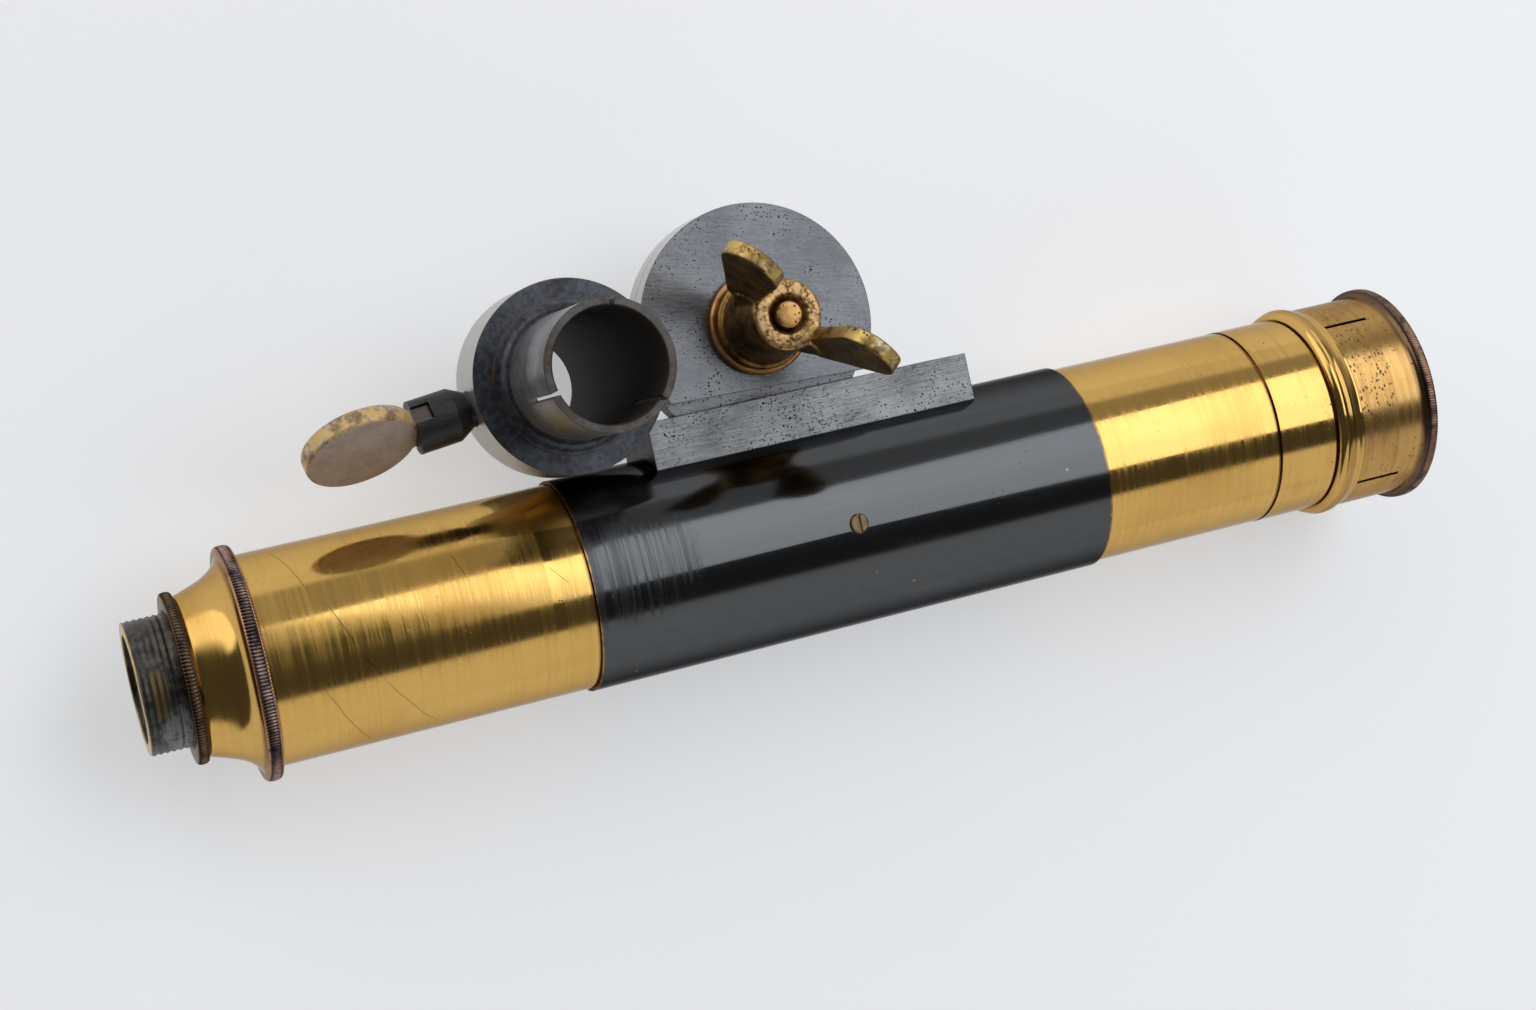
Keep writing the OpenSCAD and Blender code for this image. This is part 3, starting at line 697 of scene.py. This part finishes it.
wing_look = old_brass(
    "wing_nut_brass", paint(150, 114, 60), paint(84, 62, 34), 0.6 * MM, pits=0.9,
    edge=paint(212, 180, 110), marks=[hub_top, ear_bands])
washer_look = old_brass("washer_brass", paint(178, 122, 74), paint(112, 72, 46))
stud_look = old_brass("stud_brass", paint(200, 158, 98), paint(156, 116, 68), pits=1.6)
screw_look = old_brass("screw_brown", paint(128, 106, 80), paint(62, 50, 40), 0.2 * MM)
head_look = old_brass(
    "thumb_head_bronze", paint(200, 190, 188), paint(172, 160, 157), 0.6 * MM, (0.3, 0.7),
    pits=0.5, rough=0.42, edge=paint(222, 182, 116), spots=paint(104, 74, 48), metal=0.3,
    marks=[coin_rim])
print("the wing nut's nodes", len(wing_look.node_tree.nodes))

# %% [markdown]
# The eyepiece has gone almost black, and what is inside the tubes was painted matt black to
# stop stray light. Both are earlier finishes with darker colours. The lenses are clear glass,
# which is the same shader with its transmission up. Real glass bends light by its index of
# refraction, so that is the one number which has to be right.

# %% Dark brass, matt black and glass
GLASS_INDEX = 1.52

eyepiece_look = tube_brass(
    "eyepiece_dark_brass", paint(92, 80, 66), paint(52, 47, 42), roughness=0.34, pits=0.8,
    coat=0.0)
black_look = iron(
    "inside_black", paint(30, 30, 30), paint(16, 16, 16), (500, 500, 500), roughness=0.6,
    pits=0.2, edge=(60, 52, 44), edge_width=0.3 * MM, edge_share=0.3, metal=0.2)
glass = Finish("lens_glass")
smear = glass.cloud(glass.here, 160, 4, 0.6)
glass_look = glass.done(
    Base_Color=(0.93, 0.96, 0.97, 1), Roughness=smear.rise(0.5, 0.9) * 0.08 + 0.02,
    IOR=GLASS_INDEX, Transmission_Weight=1.0)
print("glass index", GLASS_INDEX)

# %% [markdown]
# Each solid now gets its finish. They could be given one by one, but a table shows at a
# glance what the instrument is made of. The solids have flat facets, so they are shaded
# smooth, and edges of more than 30 degrees are kept sharp.

# %% Which finish goes on which solid
FINISHES = {
    "rod_collar": collar_look, "clamp_disc": disc_look, "split_sleeve": sleeve_look,
    "clamp_pad": washer_look, "thumb_shank": shank_look, "thumb_head": head_look,
    "jacket": jacket_look, "saddle_bar": bar_look, "lug_disc": disc_look,
    "pivot_stud": stud_look, "jacket_screw": screw_look, "fixed_tube": fixed_brass,
    "moulded_ring": ring_brass, "baffle_ring": black_look, "clamp_washer": washer_look,
    "wing_nut": wing_look, "objective_sleeve": sleeve_brass, "flint_lens": glass_look,
    "crown_lens": glass_look, "objective_lock_ring": black_look, "draw_tube": draw_brass,
    "eyepiece_holder": draw_brass, "wire_ring": black_look, "cross_wires": black_look,
    "eyepiece_barrel": eyepiece_look, "eye_lens": glass_look, "lens_spacer": black_look,
    "field_lens": glass_look, "field_lock_ring": black_look}
for name, node in nodes.items():
    node.data.materials.clear()
    node.data.materials.append(FINISHES[name])
    node.data.shade_smooth()
    node.data.set_sharp_from_angle(angle=math.radians(30))
print("solids dressed", len(nodes))

# %% [markdown]
# Most pieces of this telescope were turned in a lathe: an outline carried round an axis.
# Blender's Spin or Screw could do it. A small function of our own gives the number of steps
# that the knurls and threads need, and closes each outline into a solid ring. Pieces are
# turned round X and then put on the axis that they belong to.

# %% A lathe
TUBE_AXIS = Matrix.Translation((TUBE_START, TUBE_Y, 0))
UPRIGHT = Matrix.Rotation(-QUARTER, 4, "Y")
PIVOT_AXIS = Matrix.Translation(PIVOT) @ UPRIGHT


def turned(outline, steps):
    """An outline of (along, radius) points in mm, carried round the X axis and closed."""
    bm = bmesh.new()
    turns = [2 * math.pi * k / steps for k in range(steps)]
    rings = []
    for along, radius in outline:
        if radius:
            rings.append([bm.verts.new((
                along * MM, radius * MM * math.cos(t), radius * MM * math.sin(t)))
                for t in turns])
        else:
            rings.append([bm.verts.new((along * MM, 0, 0))] * steps)
    followers = rings[1:] + rings[:1] if outline[0][1] else rings[1:]
    for first, second in zip(rings, followers):
        for k in range(steps):
            after = (k + 1) % steps
            corners = dict.fromkeys((first[k], first[after], second[after], second[k]))
            if len(corners) > 2:
                bm.faces.new(corners)
    bmesh.ops.recalc_face_normals(bm, faces=bm.faces)
    return bm


print("the tube's axis starts at", list(TUBE_AXIS.translation))

# %% [markdown]
# Two more helpers. One lets modifiers work on a raw shape and keeps only the mesh that comes
# out, so no modifier is left on a piece. The other settles a mesh: it moves the mesh to its
# axis, gives it a finish, hangs it on an empty for the body that it rides on, and hides the
# solids that it stands in for.

# %% From a raw shape to a piece
def worked(bm, *modifiers):
    """The mesh of a bmesh after modifiers, each a (type, settings) pair, have worked on it."""
    raw = bpy.data.meshes.new("raw")
    bm.to_mesh(raw)
    bm.free()
    blank = bpy.data.objects.new("blank", raw)
    bpy.context.scene.collection.objects.link(blank)
    for kind, settings in modifiers:
        modifier = blank.modifiers.new(kind, kind)
        for key, value in settings.items():
            if key in modifier.bl_rna.properties:
                setattr(modifier, key, value)
            else:
                modifier[key] = value
    seen = blank.evaluated_get(bpy.context.evaluated_depsgraph_get())
    mesh = bpy.data.meshes.new_from_object(seen)
    bpy.data.objects.remove(blank)
    bpy.data.meshes.remove(raw)
    return mesh


def settled(name, mesh, place, look, body, instead=(), sharp=60):
    """Makes the object of a piece. Sharp is the angle in degrees from which edges show."""
    mesh.transform(place)
    mesh.materials.clear()
    mesh.materials.append(look)
    mesh.shade_smooth()
    mesh.set_sharp_from_angle(angle=math.radians(sharp))
    piece = bpy.data.objects.new(name, mesh)
    bpy.context.scene.collection.objects.link(piece)
    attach(piece, body)
    if instead:
        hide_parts(*instead)
    print(name, len(mesh.polygons), "faces")


print("a piece can stand in for any of", len(nodes), "solids")

# %% [markdown]
# Straight knurls and threads are both one wave that runs round a turned piece. A knurl's
# wave stands still along the axis, and a thread's moves on by one crest for each turn. So
# one Geometry Nodes tree cuts both. It moves each point inwards by the wave's height, only
# between two stations along the axis and only outside a radius, so that bores stay smooth.
# Hundreds of separate ridges could be copied round instead, but they would never join the
# metal under them.

# %% The cutting tree
FADE = 0.25 * MM

cuts = bpy.data.node_groups.new("Tool cuts", "GeometryNodeTree")
cuts.interface.new_socket("Geometry", in_out="INPUT", socket_type="NodeSocketGeometry")
for title in ("Ridges", "Crests per metre", "Depth", "From", "To", "Above"):
    cuts.interface.new_socket(title, in_out="INPUT", socket_type="NodeSocketFloat")
cuts.interface.new_socket("Finish", in_out="INPUT", socket_type="NodeSocketMaterial")
cuts.interface.new_socket("Geometry", in_out="OUTPUT", socket_type="NodeSocketGeometry")
sheet = Sheet(cuts)
given = {item.name: sheet.node("NodeGroupInput", output=item.name)
         for item in cuts.interface.items_tree if item.in_out == "INPUT"}
spot = sheet.node("GeometryNodeInputPosition")
x, y, z = (sheet.node("SeparateXYZ", (), {0: spot}, axis) for axis in range(3))
radius = (y * y + z * z).root()
turn = z.angle_from(y) * (0.5 / math.pi)
phase = turn * given["Ridges"] + x * given["Crests per metre"]
wave = (phase.fraction() - 0.5).size() * 2
share = (x - given["From"]).rise(0, FADE) * (given["To"] - x).rise(0, FADE)
share = share * (radius - given["Above"]).rise(0, 0.1 * MM)
keep = 1 - wave * share * given["Depth"] / radius
moved = sheet.node("CombineXYZ", (), {0: x, 1: y * keep, 2: z * keep})
shape = sheet.node(
    "GeometryNodeSetPosition", (), {"Geometry": given["Geometry"], "Position": moved})
shape = sheet.node("GeometryNodeRealizeInstances", (), {"Geometry": shape})
shape = sheet.node(
    "GeometryNodeSetMaterial", (), {"Geometry": shape, "Material": given["Finish"]})
sheet.node("NodeGroupOutput", (), {"Geometry": shape})
print("cutting tree nodes", len(cuts.nodes))

# %% [markdown]
# A helper hands the sizes to the tree by the names of its inputs, and another turns a ring
# with a straight knurl. Four points for each ridge are the fewest that keep a ridge's two
# slopes and its top.

# %% A knurled ring
POINTS_PER_RIDGE = 4


def cut(look, **sizes):
    """The modifier that cuts ridges, ready for worked()."""
    names = {item.name: item.identifier for item in cuts.interface.items_tree
             if item.in_out == "INPUT"}
    settings = {names[key.replace("_", " ")]: float(value) for key, value in sizes.items()}
    settings[names["Finish"]] = look
    return "NODES", {"node_group": cuts, **settings}


def knurled_ring(name, outline, ridges, depth, span, above, look, body):
    """A turned ring, cut between two stations and outside a radius, all of them in mm."""
    ring = turned(outline, ridges * POINTS_PER_RIDGE)
    mesh = worked(ring, cut(
        look, Ridges=ridges, Crests_per_metre=0, Depth=depth * MM,
        From=span[0] * MM, To=span[1] * MM, Above=above * MM))
    settled(name, mesh, TUBE_AXIS, look, body)


def crowned(ends, bore, low, swell, step, power=1):
    """A ring's outline whose outside swells from low, point by point in steps of degrees."""
    first, last = ends
    crown = []
    for angle in range(0, 181, step):
        t = math.radians(angle)
        along = last - (0.5 - 0.5 * math.cos(t)) * (last - first)
        crown.append((along, low + swell * math.sin(t) ** power))
    return [(last, bore), *crown, (first, bore)]


print("points per ridge", POINTS_PER_RIDGE)

# %% [markdown]
# A knurl's crests are rubbed by fingers and its grooves keep their dirt, so the colour goes
# by the distance from the tube's axis. That follows the real ridges, whatever their number.
# A picture of ridges would have to be lined up with them. The ends of the three knurls are
# in millimetres from the tube's start.

# %% Knurled brass
def knurled_brass(name, crest, groove, edge, ends, top, depth, band=0.5):
    """Brass whose grooves stay dark. Ends, top and depth are in mm, and band is the share of
    the width that has no worn edge."""
    f = Finish(name)
    wear = f.cloud(f.here, 420, 4, 0.7)
    high = f.off_axis((0, TUBE_Y, 0)).rise((top - depth) * MM, (top - 0.15 * depth) * MM)
    colour = f.blend(high * wear.rise(0.3, 0.6), groove, crest)
    middle = TUBE_START + (ends[0] + ends[1]) / 2 * MM
    half = (ends[1] - ends[0]) / 2 * MM
    rim = ((f.part("X") - middle).size() * (1 / half)).rise(band + 0.12, band + 0.34)
    colour = f.blend(rim * wear.rise(0.2, 0.5), colour, edge)
    return f.done(
        Base_Color=colour, Metallic=0.95, Roughness=0.34 - rim * 0.1,
        Specular_Tint=(0.6, 0.56, 0.5, 1), Normal=f.bumped(wear, 0.00003, 0.4))


FLANGE = (-58.6, -55.95)
GRIP = (-69.0, -67.1)
RIM = (164.82, 166.57)
flange_look = knurled_brass(
    "flange_copper_knurl", paint(172, 142, 126), paint(42, 42, 52), paint(184, 134, 96),
    FLANGE, top=20.5, depth=0.22)
grip_look = knurled_brass(
    "grip_brown_knurl", paint(124, 98, 70), paint(44, 38, 36), paint(104, 82, 60),
    GRIP, top=14.9, depth=0.2, band=0.62)
rim_look = knurled_brass(
    "rim_dark_knurl", paint(146, 114, 90), paint(46, 38, 44), paint(84, 74, 76),
    RIM, top=20.6, depth=0.16, band=0.6)
print("the flange is", round(FLANGE[1] - FLANGE[0], 2), "mm wide")

# %% [markdown]
# The eyepiece end. A flange with a fine straight knurl stands where the draw tube ends, and
# fingers pull it to focus. Behind it a hollow curve leads down to the eyepiece, as one turned
# piece. The curve's points were measured in the photograph, because no single arc fits it.

# %% Eyepiece flange and its hollow curve
knurled_ring(
    "eyepiece_flange", crowned(FLANGE, bore=17.6, low=19.6, swell=0.9, step=9, power=0.6),
    ridges=208, depth=0.2, span=(FLANGE[0] + 0.2, FLANGE[1] - 0.1), above=20.0,
    look=flange_look, body="draw_tube")

MEASURED = [(-58.5, 19.0), (-58.7, 18.5), (-59.0, 18.0), (-59.4, 17.45), (-59.9, 16.9),
            (-60.5, 16.45), (-61.2, 16.0), (-62.0, 15.6), (-63.0, 15.2), (-64.2, 14.75),
            (-65.4, 14.35), (-66.3, 14.05), (-66.9, 13.85)]
hollow = turned(
    [(-50, 12.05), (-50, 17.5), (-56.05, 17.5), (-56.05, 19.0), *MEASURED, (-67.05, 13.7),
     (-67.05, 12.05)], steps=192)
settled("eyepiece_hollow", worked(hollow), TUBE_AXIS, draw_brass, "draw_tube",
        ["eyepiece_holder"], sharp=35)

# %% [markdown]
# The eyepiece itself slides in that hollow piece. Its outer end carries a thread for a cap.
# The cap has long been lost, and the thread has gone black, with a grey patch, a brass
# coloured oval and a bare end. They sit at known places, so they are patches at a station
# and an angle.

# %% Black nose
NOSE_END = -80.4 * MM


def nose_finish(name):
    f = Finish(name)
    wear = f.cloud(f.here, 520, 5, 0.7)
    crest = f.off_axis((0, TUBE_Y, 0)).rise(11.45 * MM, 11.62 * MM)
    grey = f.patch(-75.3, 46, 2.8, 30, 0.9)
    oval = f.patch(-77.4, 6, 1.6, 24, 0.35)
    end = 1 - (f.part("X") - NOSE_END).rise(0, 0.32 * MM)
    colour = f.blend(wear.rise(0.35, 0.7), paint(52, 50, 48), paint(86, 82, 76))
    for share, tint in (
            (crest * wear.rise(0.46, 0.6) * 0.4, paint(112, 100, 80)),
            (grey * wear.rise(0.3, 0.55), paint(124, 126, 124)),
            (oval * 0.8, paint(98, 84, 52)),
            (end * wear.rise(0.2, 0.45), paint(206, 176, 122))):
        colour = f.blend(share, colour, tint)
    return f.done(
        Base_Color=colour, Metallic=0.8, Roughness=0.42 - end * 0.1 + grey * 0.1,
        Normal=f.bumped(wear + grey * 0.5, 0.00008, 0.5))


nose_look = nose_finish("eyepiece_nose_black")
print("the nose ends at", round(NOSE_END, 4))

# %% [markdown]
# The thread needs many short steps along the axis, because the cutting tree only moves points
# that are there. One crest for each turn and 900 crests to the metre make a real screw
# thread. The small knurled ring beside it is the part that fingers hold.

# %% Eyepiece barrel with its thread, and the grip
THREAD_R_MM = 11.6
ROW_STEP_MM = 0.1

rows = [(-76.0 + ROW_STEP_MM * k, THREAD_R_MM) for k in range(69)]
barrel = turned(
    [(-75.6, 9.4), (-76.2, 9.4), (-76.2, 11.35), *rows, (-69.2, 12.0), (-67.2, 12.0),
     (-47.2, 12.0), (-47.2, 10.4), (-75.6, 10.4)], steps=256)
mesh = worked(barrel, cut(
    nose_look, Ridges=1, Crests_per_metre=900, Depth=0.26 * MM,
    From=-76.3 * MM, To=-69.6 * MM, Above=11.0 * MM))
settled("eyepiece_nose", mesh, TUBE_AXIS, nose_look, "eyepiece", ["eyepiece_barrel"])

knurled_ring(
    "eyepiece_grip", crowned(GRIP, bore=11.8, low=14.45, swell=0.45, step=12),
    ridges=144, depth=0.18, span=(-69.3, -67.1), above=14.5, look=grip_look, body="eyepiece")

# %% [markdown]
# The sleeve that holds the objective lens ends in a flared rim with a fine knurl. The whole
# sleeve could be made again, but its solid has the rim's plain shape already. So only the
# knurl itself is laid over it, as a thin ring.

# %% Objective rim
RIM_BORE_MM = 19.4
rim_outline = [
    (RIM[0], RIM_BORE_MM), (RIM[0], 20.3), (RIM[0] + 0.18, 20.58), (RIM[0] + 0.5, 20.62),
    (RIM[0] + 0.9, 20.63), (RIM[1] - 0.5, 20.62), (RIM[1] - 0.2, 20.58), (RIM[1], 20.32),
    (RIM[1], RIM_BORE_MM)]
knurled_ring(
    "objective_rim", rim_outline, ridges=258, depth=0.12,
    span=(RIM[0] + 0.05, RIM[1] - 0.05), above=20.35, look=rim_look, body="objective")

# %% [markdown]
# The wing nut was cast in brass, and its ears run into the hub in soft hollows. The hub is
# turned and the ears are flat plates, each with a smaller plate at its foot, and they all
# overlap. A boolean would join them with hard seams. A voxel remesh joins them into one
# skin, and smoothing rounds the edges and the hollows as years of use would.

# %% Plates with round ends
VOXEL = 0.25 * MM


def touching_circles(first, first_radius, second, second_radius, steps=20):
    """The outline round two circles and the straight sides that touch them."""
    gap = Vector(second) - Vector(first)
    base = math.atan2(gap.y, gap.x)
    side = math.acos((first_radius - second_radius) / gap.length)
    outline = []
    for centre, radius, start, end in (
            (first, first_radius, base + side, base + 2 * math.pi - side),
            (second, second_radius, base - side, base + side)):
        for k in range(steps + 1):
            t = start + (end - start) * k / steps
            outline.append((centre[0] + radius * math.cos(t), centre[1] + radius * math.sin(t)))
    return outline


def plate(bm, outline, thickness, turn):
    """A flat plate of (outward, up) points in mm, on edge at an angle round the Z axis."""
    out = Vector((math.cos(turn), math.sin(turn), 0))
    side = Vector((-out.y, out.x, 0)) * (thickness / 2 * MM)
    faces = [[bm.verts.new(out * (u * MM) + Vector((0, 0, w * MM)) + side * way)
              for u, w in outline] for way in (-1, 1)]
    bm.faces.new(faces[0])
    bm.faces.new(list(reversed(faces[1])))
    count = len(outline)
    for k in range(count):
        n = (k + 1) % count
        bm.faces.new((faces[0][k], faces[1][k], faces[1][n], faces[0][n]))


def one_skin(bm, rounds):
    """The mesh of overlapping shapes joined into one skin and smoothed a few rounds."""
    return worked(
        bm, ("REMESH", {"mode": "VOXEL", "voxel_size": VOXEL}),
        ("SMOOTH", {"factor": 0.5, "iterations": rounds}))


print("voxels of", round(VOXEL / MM, 2), "mm")

# %% [markdown]
# The hub's outline, the ears and the plates at their feet. The stud's end is a turned piece
# of its own, because the stud belongs to the telescope and stays when the nut is unscrewed.

# %% Wing nut and the end of the stud
HUB = [(10.6, 2.45), (10.6, 8.1), (10.85, 8.35), (11.95, 8.35), (12.2, 8.1), (12.25, 7.5),
       (25.2, 6.3), (25.9, 5.95), (26.0, 3.5), (24.6, 2.45)]
EAR = touching_circles((8.0, 22.2), 2.8, (12.3, 38.2), 5.5)
EAR_THICK_MM = 2.8
FOOT = touching_circles((5.4, 18.5), 2.3, (6.4, 22.9), 2.7)
FOOT_THICK_MM = 4.0
STUD_END = [(24.3, 0), (24.3, 2.3), (26.7, 2.3), (27.1, 2.0), (27.2, 1.5), (27.25, 0)]

nut = turned(HUB, steps=128)
bmesh.ops.transform(nut, matrix=UPRIGHT, verts=nut.verts)
for way in (0, math.pi):
    plate(nut, EAR, EAR_THICK_MM, EAR_TURN + way)
    plate(nut, FOOT, FOOT_THICK_MM, EAR_TURN + way)
bmesh.ops.recalc_face_normals(nut, faces=nut.faces)
settled("wing_nut_cast", one_skin(nut, rounds=9), Matrix.Translation(PIVOT), wing_look,
        "wing_nut", ["wing_nut"])
settled("stud_end", worked(turned(STUD_END, steps=64)), PIVOT_AXIS, stud_look, "telescope",
        sharp=35)

# %% [markdown]
# The thumb screw's head is a thick coin whose tang is let into the shank's slot. Its rim has
# been rounded by turning it between finger and thumb. Coin and tang are joined into one skin
# like the wing nut, because the bevel node would draw a bright line where two shapes meet.

# %% Thumb screw's head
COIN_HALF_MM = 1.6
ROUND_MM = 0.45
TANG_AT = 28.8 * MM
TANG_SIZE = (7.8 * MM, 10 * MM, 3.1 * MM)


def arc(centre, radius, start, end, count=6):
    """Points on an arc, with angles in degrees from the along direction."""
    turns = [math.radians(start + (end - start) * k / count) for k in range(count + 1)]
    return [(centre[0] + radius * math.cos(t), centre[1] + radius * math.sin(t)) for t in turns]


shoulder = COIN_HALF_MM - ROUND_MM
coin = turned(
    [(-COIN_HALF_MM, 0), *arc((-shoulder, COIN_FLAT_MM), ROUND_MM, 180, 90),
     *arc((shoulder, COIN_FLAT_MM), ROUND_MM, 90, 0), (COIN_HALF_MM, 0)], steps=160)
to_place = Matrix.Translation((0, COIN_AT_MM * MM, 0)) @ UPRIGHT
bmesh.ops.transform(coin, matrix=to_place, verts=coin.verts)
tang = bmesh.ops.create_cube(coin, size=1)["verts"]
to_place = Matrix.Translation((0, TANG_AT, 0)) @ Matrix.Diagonal((*TANG_SIZE, 1))
bmesh.ops.transform(coin, matrix=to_place, verts=tang)
settled("thumb_coin", one_skin(coin, rounds=4), THUMB_AXIS, head_look, "thumb_screw",
        ["thumb_head"])
